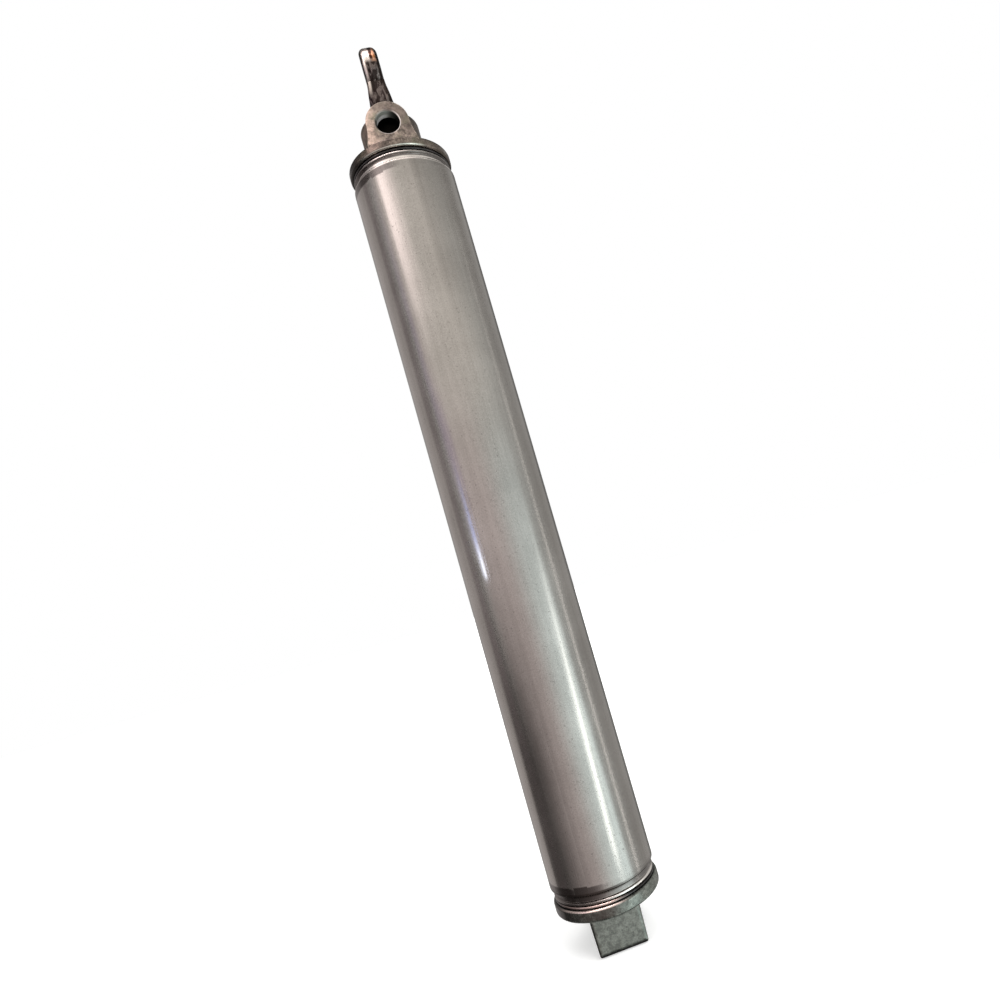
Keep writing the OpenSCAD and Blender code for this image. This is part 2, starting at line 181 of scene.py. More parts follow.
def mixColour(tree, factor, first, second):
    node = tree.nodes.new("ShaderNodeMix")
    node.data_type = "RGBA"     # its two colours are inputs 6 and 7, and its result is output 2
    for index, value in ((0, factor), (6, first), (7, second)):
        put(tree, node.inputs[index], value)
    return node.outputs[2]


def addRelief(tree, shader, height, strength, distance):
    node = tree.nodes.new("ShaderNodeBump")
    node.inputs["Strength"].default_value = strength
    node.inputs["Distance"].default_value = distance
    tree.links.new(height, node.inputs["Height"])
    tree.links.new(node.outputs["Normal"], shader.inputs["Normal"])


# effects shared by several materials

effects = {
    "fineLines": (2600, 2600, 26),     # scales of a noise along X, Y and Z
    "coarseLines": (420, 420, 5),
    "lineShares": (0.45, 0.55),
    "scratchLines": (900, 900, 7),
    "scratchRange": (0.69, 0.73),
    "scratchDepth": 1.5,
    "speckScale": 1500.0,
    "speckRange": (0.66, 0.74),
    "grainScale": 1800.0,
    "lumpScale": 620.0,
    "pitScale": 620.0,
    "pitSize": (0.05, 0.3, 1.0, 0.0),
    "pitPatchScale": 240.0,
    "pitPatches": (0.52, 0.62),
    "skinHeight": (0.6, 0.9, -0.8),    # shares of grain, lumps and pits
    "skinTone": (0.5, 0.5, -0.4),
    "wearSamples": 6,
    "wearTurn": (0.80, 0.985, 1.0, 0.0),
    "wearScale": 700.0,
    # painted shade in corners: its samples, patch scale and patch strength
    "wearBreaks": (0.38, 0.62),
    "shadeSamples": 8,
    "shadeScale": 260.0,
    "shadePatches": (0.55, 1.25),
}
endSplit = (0.10, 0.20)     # heights between which the base end's wear gives way to the rod end's


def buildDrawnLines():
    # fine lines along the tube's length, with a few longer scratches
    group, given, result = newGroup("drawnLines", {"Fineness": 1.0, "Scratches": 0.5}, ("Tone", "Height"))
    place = objectCoords(group)
    fine = noise(group, stretched(group, place, effects["fineLines"]), given["Fineness"], detail=3.0, rough=0.6)
    coarse = noise(group, stretched(group, place, effects["coarseLines"]), given["Fineness"])
    thin = noise(group, stretched(group, place, effects["scratchLines"]), 1.0, detail=1.0, rough=0.4)
    scratch = times(group, smoothStep(group, thin, *effects["scratchRange"]), given["Scratches"])
    put(group, result["Tone"], weighted(group, (fine, coarse), effects["lineShares"]))
    put(group, result["Height"], minus(group, fine, times(group, scratch, effects["scratchDepth"])))
    return group


def buildCloudyTone():
    # slow uneven tone of handled metal, with small specks in it
    group, given, result = newGroup("cloudyTone", {"Size": 60.0, "Specks": 0.3}, ("Tone", "Speck"))
    place = objectCoords(group)
    dots = noise(group, place, effects["speckScale"], detail=1.0)
    put(group, result["Tone"], noise(group, place, given["Size"], detail=4.0, rough=0.55))
    put(group, result["Speck"], times(group, smoothStep(group, dots, *effects["speckRange"]), given["Specks"]))
    return group


def buildCastSkin():
    # skin of a casting or forging: small rounded grain and lumps with shallow pits
    group, given, result = newGroup("castSkin", {"Grain": 1.0, "Pits": 0.5}, ("Tone", "Height"))
    place = objectCoords(group)
    grain = noise(group, place, times(group, given["Grain"], effects["grainScale"]), detail=3.0, rough=0.6)
    lumps = noise(group, place, effects["lumpScale"])
    pits = group.nodes.new("ShaderNodeTexVoronoi")
    pits.inputs["Scale"].default_value = effects["pitScale"]
    group.links.new(place, pits.inputs["Vector"])
    hollow = smoothStep(group, pits.outputs["Distance"], *effects["pitSize"])
    few = smoothStep(group, noise(group, place, effects["pitPatchScale"], detail=1.0), *effects["pitPatches"])
    skin = grain, lumps, times(group, hollow, few, given["Pits"])
    put(group, result["Tone"], weighted(group, skin, effects["skinTone"], clamp=True))
    put(group, result["Height"], weighted(group, skin, effects["skinHeight"]))
    return group


def buildEdgeWear():
    # bright rubbed metal where a rounded normal turns away from the true one
    group, given, result = newGroup("edgeWear", {"Radius": 0.0006, "Amount": 1.0}, ("Mask",))
    rounded = group.nodes.new("ShaderNodeBevel")
    rounded.samples = effects["wearSamples"]
    group.links.new(given["Radius"], rounded.inputs["Radius"])
    plain = group.nodes.new("ShaderNodeNewGeometry")
    facing = group.nodes.new("ShaderNodeVectorMath")
    facing.operation = "DOT_PRODUCT"
    group.links.new(rounded.outputs["Normal"], facing.inputs[0])
    group.links.new(plain.outputs["Normal"], facing.inputs[1])
    turned = smoothStep(group, facing.outputs["Value"], *effects["wearTurn"])
    broken = noise(group, objectCoords(group), effects["wearScale"], detail=3.0)
    broken = smoothStep(group, broken, *effects["wearBreaks"])
    put(group, result["Mask"], times(group, turned, broken, given["Amount"], clamp=True))
    return group


def buildCornerShade():
    # painted shade that darkens grooves and the feet of bosses, in uneven patches
    group, given, result = newGroup("cornerShade",
                                    {"Reach": 0.003, "Amount": 1.0, "Full": 0.25, "Open": 0.85}, ("Mask",))
    shade = group.nodes.new("ShaderNodeAmbientOcclusion")
    shade.samples = effects["shadeSamples"]
    group.links.new(given["Reach"], shade.inputs["Distance"])
    closed = smoothStep(group, shade.outputs["AO"], given["Full"], given["Open"], 1.0, 0.0)
    patchy = noise(group, objectCoords(group), effects["shadeScale"], detail=3.0)
    patchy = spread(group, patchy, *effects["shadePatches"])
    put(group, result["Mask"], times(group, closed, patchy, given["Amount"], clamp=True))
    return group


def bothEnds(tree, height):
    # one mask for the base end and one for the rod end
    head = smoothStep(tree, height, *endSplit)
    return minus(tree, 1.0, head), head


drawnLines = buildDrawnLines()
cloudyTone = buildCloudyTone()
castSkin = buildCastSkin()
edgeWear = buildEdgeWear()
cornerShade = buildCornerShade()
print("shader groups built")


# In the looks below, two numbers are where a soft step starts and ends, and four add its values before and after.
# A row marked as a window has its start, where it is full, where it fades and its end. Lengths are in metres.

# barrel; "In" rows are distances from the tube's end, "Across" rows are places along X

barrelLook = {
    "light": (0.41, 0.395, 0.375),
    "dark": (0.31, 0.297, 0.28),
    # dull roll marks, also painted shade in the grooves
    "rolled": (0.12, 0.109, 0.106),
    # painted highlight on the lips and the rod end's shoulder
    "barrelHighlight": (0.92, 0.88, 0.84),
    # painted shade, and the colour of specks of dirt
    "shadeAndGrime": (0.05, 0.042, 0.038),
    "lines": {"Fineness": 1.0, "Scratches": 0.5},
    "clouds": {"Size": 48.0, "Specks": 0.6},
    "corners": {"Reach": 0.0016, "Amount": 0.4},
    "satinScale": 2400.0,
    "toneShares": (0.3, 0.35, 0.35),                              # of lines, clouds and satin
    "toneRange": (0.36, 0.64),
    "rollSteps": 23,                                              # round the tube
    "rollIn": (0.0048, 0.0066),                                   # the shortest and the longest mark
    "rollFade": (0.0, 0.0005, 1.0, 0.0),
    "rollLongAcross": (-0.013, -0.009, 0.85, 0.0),
    "rollDepth": (0.1, 0.8, 0.25, 1.0),                           # of a short and a long mark
    "rollFaintAt": 0.005,
    "rollFaint": (0.003, 0.010, 0.15, 1.0),
    "rollCover": 0.85,
    "darkestBaseAcross": (-0.0178, -0.0160, -0.006, 0.002),       # window
    "darkestHeadAcross": (-0.0165, -0.0150, -0.0118, -0.0108),    # window
    "darkestCover": 0.62,
    "grooveBaseIn": (0.0012, 0.0015, 0.0026, 0.0030),             # window
    "grooveHeadIn": (0.0005, 0.0008, 0.0015, 0.0019),             # window
    "grooveCover": (0.5, 0.7),
    "lipBaseIn": (0.0009, 0.0012, 1.0, 0.0),
    "lipBaseAcross": (-0.003, 0.007, 0.1, 1.0),
    "lipHeadIn": (0.0004, 0.0006, 0.85, 0.0),
    "lipHeadAcross": (-0.017, -0.011, 0.0, 0.016),                # window
    "shoulderHeadIn": (0.0016, 0.0019, 0.0038, 0.0042),           # window
    "shoulderHeadAcross": (-0.004, 0.004, 0.72, 0.9),
    "shoulderBaseIn": (0.0022, 0.0027, 0.0041, 0.0045),           # window
    "shoulderBaseAcross": (0.0, 0.010, 0.9, 0.35),
    "brightPatches": (0.6, 1.25),
    "speckCover": 0.5,
    "roughness": (0.14, 0.22),
    "roughShares": (0.1, -0.05, 0.3),                             # of roll marks, painted highlights, and shaded and dirty places
    "anisotropy": 0.3,
    "cloudHeight": 0.4,
    "relief": (0.25, 0.00004),
}


def makeBarrelSteel():
    look = barrelLook
    material, tree, shader = newMaterial("drawnBarrelSteel")
    lines = useGroup(tree, drawnLines, **look["lines"])
    clouds = useGroup(tree, cloudyTone, **look["clouds"])
    corners = useGroup(tree, cornerShade, **look["corners"])
    place = objectCoords(tree)
    x, y, z = axisParts(tree, place)
    low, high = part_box("barrel_tube")
    fromEnd = calc(tree, "MINIMUM", minus(tree, z, low.z), minus(tree, high.z, z))
    base, head = bothEnds(tree, z)
    satin = noise(tree, place, look["satinScale"], rough=0.6)
    tone = weighted(tree, (lines["Tone"], clouds["Tone"], satin), look["toneShares"])
    tone = smoothStep(tree, tone, *look["toneRange"])
    colour = mixColour(tree, tone, look["dark"], look["light"])

    # the roller leaves a dull band in steps just inside each shoulder; painted shade makes it longest on the left
    # and faint in the middle
    turn = times(tree, calc(tree, "ARCTAN2", y, x), look["rollSteps"] / (2 * math.pi))
    chance = tree.nodes.new("ShaderNodeTexWhiteNoise")
    chance.noise_dimensions = "1D"
    tree.links.new(calc(tree, "FLOOR", turn), chance.inputs["W"])
    patch = largest(tree, chance.outputs["Value"], smoothStep(tree, x, *look["rollLongAcross"]))
    past = minus(tree, fromEnd, spread(tree, patch, *look["rollIn"]))
    aside = calc(tree, "ABSOLUTE", minus(tree, x, look["rollFaintAt"]))
    band = times(tree, smoothStep(tree, past, *look["rollFade"]), smoothStep(tree, patch, *look["rollDepth"]),
                 smoothStep(tree, aside, *look["rollFaint"]))
    colour = mixColour(tree, times(tree, band, look["rollCover"]), colour, look["rolled"])

    # painted shade darkens the grooves behind the lips, and the roll marks on the left side
    grooveShade = (times(tree, window(tree, fromEnd, *look["grooveBaseIn"]), base),
               times(tree, window(tree, fromEnd, *look["grooveHeadIn"]), head))
    colour = mixColour(tree, weighted(tree, grooveShade, look["grooveCover"]), colour, look["rolled"])
    leftRollShade = plus(tree, times(tree, window(tree, x, *look["darkestHeadAcross"]), head),
                   times(tree, window(tree, x, *look["darkestBaseAcross"]), base))
    colour = mixColour(tree, times(tree, leftRollShade, band, look["darkestCover"]), colour, look["shadeAndGrime"])

    # painted highlights brighten the lips and the rod end's shoulder; painted shade darkens the base end's shoulder
    lipBase = times(tree, smoothStep(tree, fromEnd, *look["lipBaseIn"]),
                    smoothStep(tree, x, *look["lipBaseAcross"]), base)
    lipHead = times(tree, window(tree, x, *look["lipHeadAcross"]),
                    smoothStep(tree, fromEnd, *look["lipHeadIn"]), head)
    shoulder = times(tree, window(tree, fromEnd, *look["shoulderHeadIn"]),
                     smoothStep(tree, x, *look["shoulderHeadAcross"]), head)
    highlightMask = largest(tree, shoulder, plus(tree, lipBase, lipHead))
    uneven = times(tree, highlightMask, spread(tree, clouds["Tone"], *look["brightPatches"]), clamp=True)
    colour = mixColour(tree, uneven, colour, look["barrelHighlight"])
    shoulderShade = times(tree, window(tree, fromEnd, *look["shoulderBaseIn"]), base,
                  smoothStep(tree, x, *look["shoulderBaseAcross"]))
    colour = mixColour(tree, shoulderShade, colour, look["shadeAndGrime"])
    # painted shade in the corners, with specks of dirt
    shadeAndDirt = largest(tree, corners["Mask"], times(tree, clouds["Speck"], look["speckCover"]))
    colour = mixColour(tree, shadeAndDirt, colour, look["shadeAndGrime"])
    tree.links.new(colour, shader.inputs["Base Color"])

    shader.inputs["Metallic"].default_value = 1.0
    shader.inputs["Anisotropic"].default_value = look["anisotropy"]
    rough = plus(tree, spread(tree, tone, *look["roughness"]),
                 weighted(tree, (band, highlightMask, shadeAndDirt), look["roughShares"]), clamp=True)
    tree.links.new(rough, shader.inputs["Roughness"])
    height = plus(tree, lines["Height"], times(tree, clouds["Tone"], look["cloudHeight"]))
    addRelief(tree, shader, height, *look["relief"])
    return material


# end caps; "Across" rows are places along X, "Out" rows distances beyond the tube's end, "Wide" rows from its axis

capLook = {
    "baseLight": (0.27, 0.292, 0.262),
    "baseDark": (0.115, 0.126, 0.113),
    "headLight": (0.33, 0.278, 0.234),
    "headDark": (0.082, 0.067, 0.058),
    # painted highlight on the left of the rod-end casting
    "headLitLeft": (0.56, 0.43, 0.36),
    "headOlive": (0.20, 0.195, 0.135),
    # painted shade on the rims, and painted highlights along their edges by the tube
    "rim": (0.040, 0.030, 0.026),
    "rimHighlightBase": (0.95, 0.80, 0.74),
    "rimHighlightHead": (0.56, 0.56, 0.50),
    "worn": (0.62, 0.54, 0.48),
    # painted highlight on the port chamfers
    "chamfer": (0.90, 0.80, 0.75),
    # painted shade
    "shadeAndGrime": (0.012, 0.011, 0.01),
    "machined": (0.34, 0.355, 0.32),
    # painted highlight deep in the ports
    "portDeepHighlight": (0.98, 0.98, 0.96),
    "skin": {"Grain": 1.0, "Pits": 0.6},
    "clouds": {"Size": 90.0},
    "wear": {"Radius": 0.0005, "Amount": 0.9},
    "corners": {"Reach": 0.0035, "Amount": 1.0},
    "deepCorners": {"Reach": 0.014, "Amount": 1.0, "Full": 0.1, "Open": 0.42},
    "toneShares": (0.7, 0.3),                               # of skin and clouds
    "toneRange": (0.37, 0.63),
    # rod-end casting
    "litLeftAcross": (-0.0075, -0.0025, 0.95, 0.0),
    "litLeftGrain": (0.3, 1.0),
    "oliveScale": 190.0,
    "olivePatches": (0.48, 0.62, 0.0, 0.65),
    "shadeUpward": (0.2925, 0.301, 0.0, 0.6),               # X + Z
    "shadeGland": (-0.0128, -0.0118, 0.0, 0.68),            # Y
    # turned rims of the flanges, with painted shade and painted highlights
    "rimWide": (0.0174, 0.0178),
    "rimOut": (0.0046, 0.0050, 1.0, 0.0),
    "rimShadeAcross": (-0.004, 0.008, 1.0, 0.0),
    "rimShadeCover": (0.25, 0.8),
    "rimShadeGrain": (1.0, 0.7),
    "blackAcross": (-0.0175, -0.010, 0.92, 0.0),
    "blackBaseOut": (0.0044, 0.0050),
    "blackBaseAcross": (-0.006, 0.002, 0.93, 0.0),
    "blackHeadOut": (0.0018, 0.0023, 1.0, 0.0),
    "blackHeadAcross": (-0.013, -0.006, 0.9, 0.0),
    "edgeWide": (0.0185, 0.0188),
    "edgeOut": (0.0011, 0.0013, 0.0017, 0.0020),            # window
    "edgeBaseAcross": (-0.019, -0.009, -0.003, 0.008),      # window
    "edgeHeadAcross": (-0.014, -0.008, 0.006, 0.012),       # window
    "edgePatches": (0.5, 1.3),
    # rounded edges of the lug, whose sides slant a little
    "lugTop": 0.0065,
    "lugSlant": 0.0314,
    "lugHalf": 0.0089,
    "lugBottom": 0.0061,
    "lugEdge": (0.0003, 0.0009, 0.8, 0.0),
    "lugUp": (0.0060, 0.0066, 1.0, 0.0),
    "lugFront": (-0.0160, -0.0150, 1.0, 0.0),
    # ports: "Wide" rows from the port's own axis, the others from the cylinder's
    "portSide": (0.0085, 0.009),
    "portWide": (0.00432, 0.00442, 1.0, 0.0),
    "chamferWide": (0.00432, 0.00442, 0.00462, 0.00477),    # window
    "chamferLower": (-0.003, 0.004, 0.1, 1.0),
    "portMouth": (0.01285, 0.01325),
    "portDeep": (0.01411, 0.01537, 1.0, 0.0),
    "portDeepAcross": (-0.002, 0.002, 1.0, 0.0),
    "ceilingTurn": (-0.6, -0.2, 1.0, 0.0),
    "ceilingAcross": (0.0, 0.0036, 1.0, 0.1),
    "metallic": (0.75, 0.1),                                # of the casting and of the painted highlights in a port
    "metallicShadeAndHighlight": 0.25,
    "roughness": (0.28, 0.48),
    "roughShares": (-0.12, 0.2, -0.18),                     # of worn, shaded and turned places
    "turnedRelief": (1.0, 0.35),
    "relief": (0.5, 0.00012),
}


def makeCapCasting():
    look = capLook
    material, tree, shader = newMaterial("capCasting")
    skin = useGroup(tree, castSkin, **look["skin"])
    clouds = useGroup(tree, cloudyTone, **look["clouds"])
    wear = useGroup(tree, edgeWear, **look["wear"])
    corners = useGroup(tree, cornerShade, **look["corners"])
    deepCorners = useGroup(tree, cornerShade, **look["deepCorners"])
    place = objectCoords(tree)
    x, y, z = axisParts(tree, place)
    wide = lengthOf(tree, x, y)
    low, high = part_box("barrel_tube")
    beyond = largest(tree, minus(tree, low.z, z), minus(tree, z, high.z))
    base, head = bothEnds(tree, z)
    tone = smoothStep(tree, weighted(tree, (skin["Tone"], clouds["Tone"]), look["toneShares"]), *look["toneRange"])
    colour = mixColour(tree, tone, mixColour(tree, head, look["baseDark"], look["headDark"]),
                       mixColour(tree, head, look["baseLight"], look["headLight"]))

    # painted highlight makes the rod-end casting paler to the left; it is olive in patches; painted shade darkens
    # its upper right and the gland behind the boss
    pale = times(tree, smoothStep(tree, x, *look["litLeftAcross"]), head, spread(tree, tone, *look["litLeftGrain"]))
    colour = mixColour(tree, pale, colour, look["headLitLeft"])
    olive = smoothStep(tree, noise(tree, place, look["oliveScale"]), *look["olivePatches"])
    colour = mixColour(tree, times(tree, olive, head), colour, look["headOlive"])
    castShade = largest(tree, smoothStep(tree, plus(tree, x, z), *look["shadeUpward"]),
                    times(tree, smoothStep(tree, y, *look["shadeGland"]), head))
    colour = mixColour(tree, castShade, colour, look["headDark"])

    # the flanges' rims are turned smooth; painted shade darkens them on the left and along their lower parts, and a
    # painted highlight runs along the edge by the tube
    rim = times(tree, smoothStep(tree, wide, *look["rimWide"]), smoothStep(tree, beyond, *look["rimOut"]))
    rimShade = times(tree, rim, spread(tree, smoothStep(tree, x, *look["rimShadeAcross"]), *look["rimShadeCover"]),
                  spread(tree, tone, *look["rimShadeGrain"]))
    colour = mixColour(tree, rimShade, colour, look["rim"])
    blackBase = times(tree, smoothStep(tree, beyond, *look["blackBaseOut"]),
                      smoothStep(tree, x, *look["blackBaseAcross"]), base)
    blackHead = times(tree, smoothStep(tree, beyond, *look["blackHeadOut"]),
                      smoothStep(tree, x, *look["blackHeadAcross"]), head)
    rimBlackShade = largest(tree, smoothStep(tree, x, *look["blackAcross"]), blackBase, blackHead)
    colour = mixColour(tree, times(tree, rimBlackShade, rim), colour, look["shadeAndGrime"])
    highlightAcross = plus(tree, times(tree, window(tree, x, *look["edgeHeadAcross"]), head),
                      times(tree, window(tree, x, *look["edgeBaseAcross"]), base))
    edgeHighlight = times(tree, smoothStep(tree, wide, *look["edgeWide"]), window(tree, beyond, *look["edgeOut"]),
                 highlightAcross, spread(tree, clouds["Tone"], *look["edgePatches"]), clamp=True)

    # painted shade darkens the lug's rounded edges on the front
    slant = times(tree, minus(tree, z, look["lugTop"]), look["lugSlant"])
    inward = calc(tree, "MINIMUM", plus(tree, x, look["lugHalf"], slant), plus(tree, z, look["lugBottom"]))
    lugEdge = times(tree, smoothStep(tree, inward, *look["lugEdge"]), smoothStep(tree, z, *look["lugUp"]),
                    smoothStep(tree, y, *look["lugFront"]))

    # the ports are machined; painted shade darkens their bores except the ceiling near the mouth, which is painted
    # lit and palest deeper in on its left, and a painted highlight brightens the chamfer towards its lower right
    bores, rings, mouths, depths = [], [], [], []
    for mount in frame["record"]["mounts"]:
        if mount["kind"] != "threaded_hole":
            continue
        rise = minus(tree, z, mount["pos_m"][2])
        reach = lengthOf(tree, rise, x)
        out = times(tree, y, mount["axis"][1])
        side = smoothStep(tree, out, *look["portSide"])
        bores.append(times(tree, smoothStep(tree, reach, *look["portWide"]), side))
        rings.append(times(tree, window(tree, reach, *look["chamferWide"]),
                           smoothStep(tree, minus(tree, x, rise), *look["chamferLower"]), side))
        mouths.append(smoothStep(tree, out, *look["portMouth"]))
        depths.append(times(tree, smoothStep(tree, out, *look["portDeep"]), side))
    bore, chamferGlint = largest(tree, *bores), largest(tree, *rings)
    facing = axisParts(tree, tree.nodes.new("ShaderNodeNewGeometry").outputs["Normal"])[2]
    litCeiling = times(tree, bore, smoothStep(tree, facing, *look["ceilingTurn"]), largest(tree, *mouths),
                    smoothStep(tree, x, *look["ceilingAcross"]))
    deepHighlight = times(tree, largest(tree, *depths), smoothStep(tree, x, *look["portDeepAcross"]))
    colour = mixColour(tree, bore, colour, mixColour(tree, deepHighlight, look["machined"], look["portDeepHighlight"]))
    # painted shade in the corners, in the ports' bores apart from their lit ceilings, and on the lug's front edges
    shadeAndDirt = minus(tree, largest(tree, corners["Mask"], deepCorners["Mask"], bore), litCeiling, clamp=True)
    shadeAndDirt = largest(tree, shadeAndDirt, lugEdge)
    colour = mixColour(tree, shadeAndDirt, colour, look["shadeAndGrime"])
    worn = times(tree, wear["Mask"], minus(tree, 1.0, largest(tree, bore, lugEdge)))
    colour = mixColour(tree, worn, colour, look["worn"])
    colour = mixColour(tree, edgeHighlight, colour, mixColour(tree, head, look["rimHighlightBase"], look["rimHighlightHead"]))
    colour = mixColour(tree, chamferGlint, colour, look["chamfer"])
    tree.links.new(colour, shader.inputs["Base Color"])

    metal = plus(tree, spread(tree, largest(tree, litCeiling, chamferGlint), *look["metallic"]),
                 times(tree, largest(tree, shadeAndDirt, edgeHighlight), look["metallicShadeAndHighlight"]), clamp=True)
    tree.links.new(metal, shader.inputs["Metallic"])
    rough = plus(tree, spread(tree, tone, *look["roughness"]),
                 weighted(tree, (wear["Mask"], shadeAndDirt, rim), look["roughShares"]), clamp=True)
    tree.links.new(rough, shader.inputs["Roughness"])
    height = times(tree, skin["Height"], spread(tree, rim, *look["turnedRelief"]))
    addRelief(tree, shader, height, *look["relief"])
    return material


# rod with its forged eye; "Up" rows are heights from the eye's top, negative below it, "Across" rows places along X

rodLook = {
    "plated": (0.58, 0.57, 0.55),
    "forgedLight": (0.165, 0.14, 0.132),
    "forgedDark": (0.016, 0.011, 0.010),
    # painted highlights on the eye's head and left edge, orange on the head's right
    "highlight": (0.80, 0.72, 0.67),
    "highlightRight": (0.62, 0.33, 0.20),
    "seam": (0.035, 0.012, 0.006),
    "rust": (0.50, 0.20, 0.07),
    # painted shade
    "shadeAndGrime": (0.02, 0.016, 0.014),
    "skin": {"Grain": 0.55, "Pits": 0.8},
    "lines": {"Fineness": 1.4, "Scratches": 0.3},
    "corners": {"Reach": 0.003, "Amount": 0.7},
    "forgedScale": 300.0,
    "forgedRagged": 0.0016,
    "forgedUp": (-0.028, -0.0264),
    "neckHalf": (-0.027, -0.0153, 0.00476, 0.0034),        # its half width, by height
    "neckUp": (-0.0185, -0.0165, 1.0, 0.0),
    "neckDark": (-0.028, -0.021, 0.6, 1.0),
    "foldScales": (520, 520, 90),
    "foldShift": 0.0004,
    "partingWide": (0.0002, 0.0006, 1.0, 0.0),
    "partingTone": 0.9,
    "toneShares": (0.45, 0.55),                            # of skin and folds
    "toneRange": (0.4, 0.62),
    "streakInward": (0.0012, 0.0016, 0.0018, 0.0023),      # window, from the neck's right edge
    "rightEdgeInward": (0.0009, 0.0012, 1.0, 0.0),
    "hollowScales": (430, 430, 170),
    "hollowRange": (0.47, 0.55),
    "hollowOnStreak": (1.0, 0.2),
    "hollowTone": (1.0, 0.12),
    "highlightLift": 0.0012,
    "highlightUp": (-0.0098, -0.0080),
    "highlightWide": (0.0021, 0.0027, 1.0, 0.0),
    "leftEdgeUp": (-0.0215, -0.0155),
    "leftEdgeInward": (0.0006, 0.0010, 0.0014, 0.0021),    # window
    "leftEdgeCover": 0.8,
    "wobbleScale": 380.0,
    "wobble": 0.0012,
    "rightAcross": (0.0008, 0.0017),
    "seamAcross": (0.0007, 0.0011, 0.0018, 0.0023),        # window
    "rustScale": 420.0,
    "rustPatches": (0.54, 0.62),
    "rustAcross": (0.0006, 0.0016),
    "roughness": (0.10, 0.20),
    "forgedRoughness": 0.06,
    "reliefShares": (1.2, 1.5),                            # of the parting line and the folds
    "platedRelief": 0.1,
    "relief": (0.35, 0.00012),
}


def makeRodSteel():
    look = rodLook
    material, tree, shader = newMaterial("platedRodForgedEye")
    skin = useGroup(tree, castSkin, **look["skin"])
    lines = useGroup(tree, drawnLines, **look["lines"])
    corners = useGroup(tree, cornerShade, **look["corners"])
    place = objectCoords(tree)
    x, y, z = axisParts(tree, place)
    up = minus(tree, z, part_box("piston_rod")[1].z)
    ragged = plus(tree, up, times(tree, noise(tree, place, look["forgedScale"]), look["forgedRagged"]))
    forged = smoothStep(tree, ragged, *look["forgedUp"])

    # long folds run up the neck, with a parting line in the middle and dark hollows; a painted highlight streak
    # lies near the right edge, and painted shade darkens the right edge and the neck's foot
    folds = noise(tree, stretched(tree, place, look["foldScales"]), 1.0, detail=3.0, rough=0.6)
    shift = times(tree, folds, look["foldShift"])
    parting = smoothStep(tree, calc(tree, "ABSOLUTE", plus(tree, x, shift)), *look["partingWide"])
    tone = smoothStep(tree, weighted(tree, (skin["Tone"], folds), look["toneShares"]), *look["toneRange"])
    half = smoothStep(tree, up, *look["neckHalf"])
    fromRight = minus(tree, half, x)
    streak = times(tree, window(tree, fromRight, *look["streakInward"]), smoothStep(tree, up, *look["neckUp"]))
    tone = largest(tree, tone, times(tree, parting, look["partingTone"]), streak)
    hollows = noise(tree, stretched(tree, place, look["hollowScales"]), 1.0, rough=0.6)
    hollows = smoothStep(tree, hollows, *look["hollowRange"])
    hollows = largest(tree, times(tree, hollows, spread(tree, streak, *look["hollowOnStreak"])),
                      smoothStep(tree, fromRight, *look["rightEdgeInward"]))
    tone = times(tree, tone, spread(tree, hollows, *look["hollowTone"]), smoothStep(tree, up, *look["neckDark"]))
    colour = mixColour(tree, tone, look["forgedDark"], look["forgedLight"])

    # painted highlights brighten the head of the eye and its left edge, orange on the head's right side; the head
    # also has a seam and rust
    lifted = plus(tree, up, times(tree, folds, look["highlightLift"]))
    top = times(tree, smoothStep(tree, lifted, *look["highlightUp"]),
                smoothStep(tree, calc(tree, "ABSOLUTE", x), *look["highlightWide"]))
    fromLeft = plus(tree, half, x, shift)
    leftEdge = times(tree, window(tree, fromLeft, *look["leftEdgeInward"]),
                     smoothStep(tree, lifted, *look["leftEdgeUp"]))
    highlight = largest(tree, top, times(tree, leftEdge, look["leftEdgeCover"]))
    colour = mixColour(tree, highlight, colour, look["highlight"])
    wobbly = plus(tree, x, times(tree, noise(tree, place, look["wobbleScale"]), look["wobble"]))
    right = times(tree, top, smoothStep(tree, wobbly, *look["rightAcross"]))
    colour = mixColour(tree, right, colour, look["highlightRight"])
    seam = times(tree, window(tree, wobbly, *look["seamAcross"]), top)
    colour = mixColour(tree, seam, colour, look["seam"])
    spots = smoothStep(tree, noise(tree, place, look["rustScale"]), *look["rustPatches"])
    rust = times(tree, spots, smoothStep(tree, x, *look["rustAcross"]), highlight)
    colour = mixColour(tree, rust, colour, look["rust"])
    colour = mixColour(tree, forged, look["plated"], colour)
    # painted shade in the corners
    colour = mixColour(tree, corners["Mask"], colour, look["shadeAndGrime"])
    tree.links.new(colour, shader.inputs["Base Color"])

    shader.inputs["Metallic"].default_value = 1.0
    rough = plus(tree, spread(tree, lines["Tone"], *look["roughness"]),
                 times(tree, forged, look["forgedRoughness"]), clamp=True)
    tree.links.new(rough, shader.inputs["Roughness"])
    height = plus(tree, skin["Height"], weighted(tree, (parting, folds), look["reliefShares"]))
    height = plus(tree, times(tree, height, forged), times(tree, lines["Height"], look["platedRelief"]))
    addRelief(tree, shader, height, *look["relief"])
    return material


# rings, washers, nut and the pieces inside

